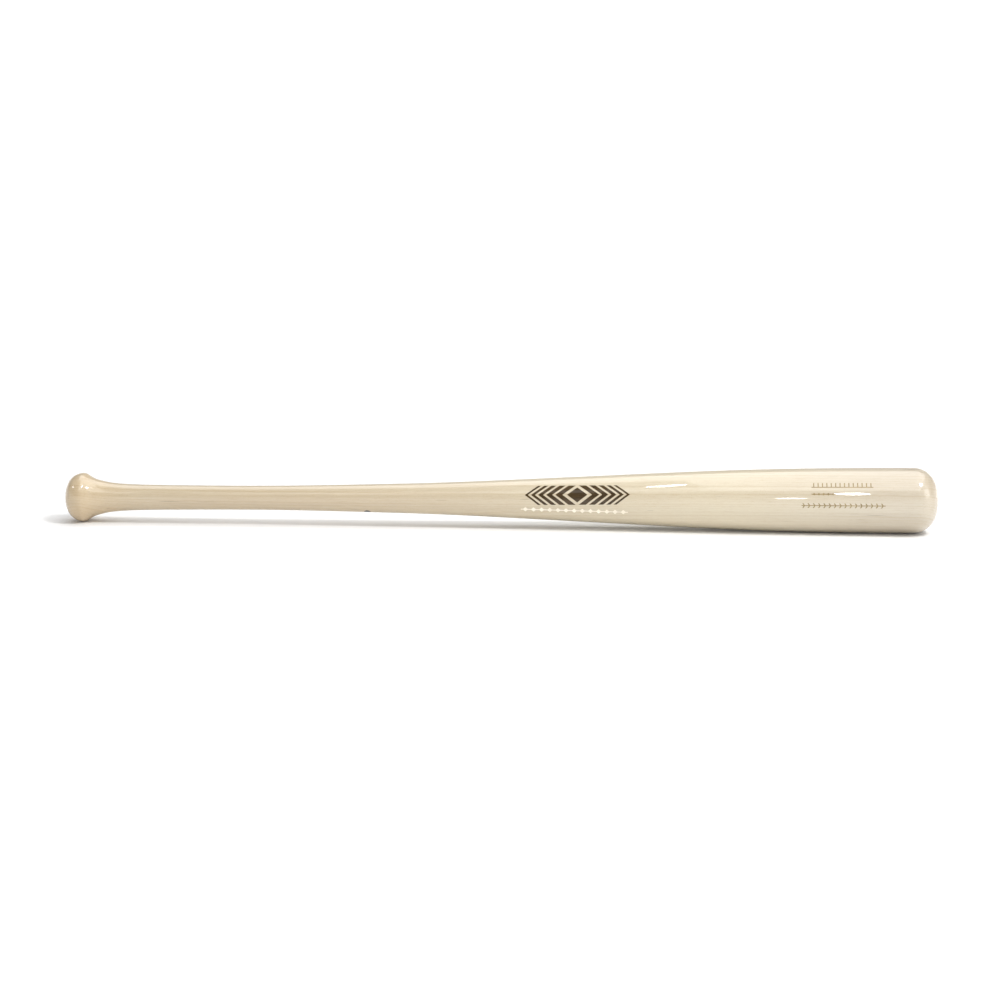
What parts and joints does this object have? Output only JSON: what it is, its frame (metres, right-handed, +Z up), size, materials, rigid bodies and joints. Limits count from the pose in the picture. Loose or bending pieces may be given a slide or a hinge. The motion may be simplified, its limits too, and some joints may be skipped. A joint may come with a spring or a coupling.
{
  "type": "baseball bat",
  "caption": "One-piece turned maple baseball bat with a flared knob, slim handle, full rounded barrel, clear gloss lacquer and stamped foil marks.",
  "frame": {"origin": "on the floor plane, below the middle of the bat's length and width as it lies at rest", "axes": "+X from the knob towards the barrel, +Z up, and the stamped marks face -Y and a little upwards. The turning axis is tilted up by 0.54 degrees towards the barrel, because the bat rests on its knob's rim and on its barrel"},
  "size_m": [0.8638, 0.0638, 0.0641],
  "materials": {
    "lacquered_maple": "pale hard maple under a clear gloss lacquer",
    "bronze_foil": "dark bronze hot-stamped foil under the lacquer",
    "cream_foil": "cream hot-stamped foil under the lacquer",
    "tan_foil": "thin olive-tan hot-stamped foil under the lacquer",
    "black_ink": "dark ink spot under the lacquer"
  },
  "bodies": {
    "root": {"barrel_rule": "tan_foil", "barrel_scale": "tan_foil", "barrel_seam": "tan_foil", "grain_dot": "black_ink", "main_mark_chevron_left_1": "bronze_foil", "main_mark_chevron_left_2": "bronze_foil", "main_mark_chevron_left_3": "bronze_foil", "main_mark_chevron_left_4": "bronze_foil", "main_mark_chevron_left_5": "bronze_foil", "main_mark_chevron_right_1": "bronze_foil", "main_mark_chevron_right_2": "bronze_foil", "main_mark_chevron_right_3": "bronze_foil", "main_mark_chevron_right_4": "bronze_foil", "main_mark_chevron_right_5": "bronze_foil", "main_mark_lozenge": "bronze_foil", "under_line": "cream_foil", "wood_body": "lacquered_maple"}
  },
  "joints": []
}
